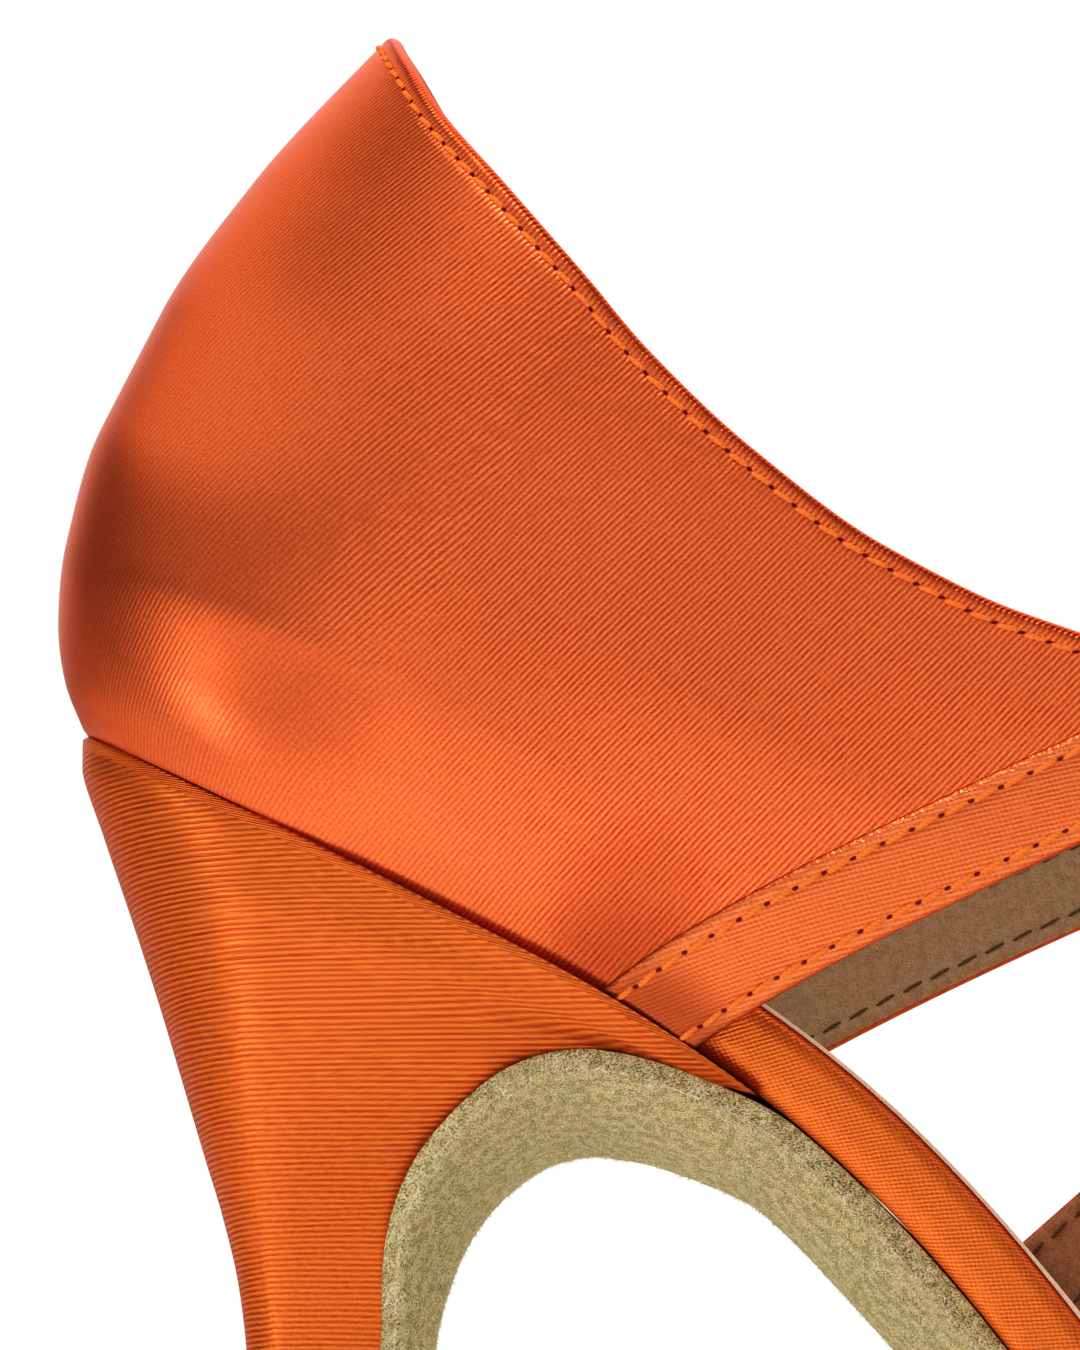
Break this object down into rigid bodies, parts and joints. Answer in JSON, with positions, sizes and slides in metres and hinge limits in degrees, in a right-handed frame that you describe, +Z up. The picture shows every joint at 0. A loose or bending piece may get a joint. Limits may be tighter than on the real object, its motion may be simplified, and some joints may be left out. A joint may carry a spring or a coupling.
{
  "type": "latin dance sandal",
  "caption": "High-heeled open-toe dance sandal with a closed satin heel counter, thin straps, a buckled instep strap and a suede sole.",
  "frame": {"origin": "middle of the whole shoe's box at floor height, between heel tip and forefoot", "axes": "+X from heel to toe, +Y to the inner (medial) side of the foot, +Z up; the heel tip and the ball of the sole stand on z = 0"},
  "size_m": [0.2166, 0.0782, 0.1448],
  "materials": {
    "satin": "copper orange twill satin over a firm backing",
    "suede": "raw khaki suede with a long nap",
    "sock_leather": "soft matte peach leather",
    "rubber": "matte dark rubber",
    "metal": "polished pale gold plating"
  },
  "bodies": {
    "root": {"insole": "satin", "sock": "sock_leather", "outsole": "suede", "heel": "satin", "heel_tip": "rubber", "counter": "satin", "buckle_strap": "satin", "instep_strap": "satin", "midfoot_strap": "satin", "vamp_straps": "satin", "keeper": "satin", "buckle": "metal", "buckle_prong": "metal"}
  },
  "joints": []
}
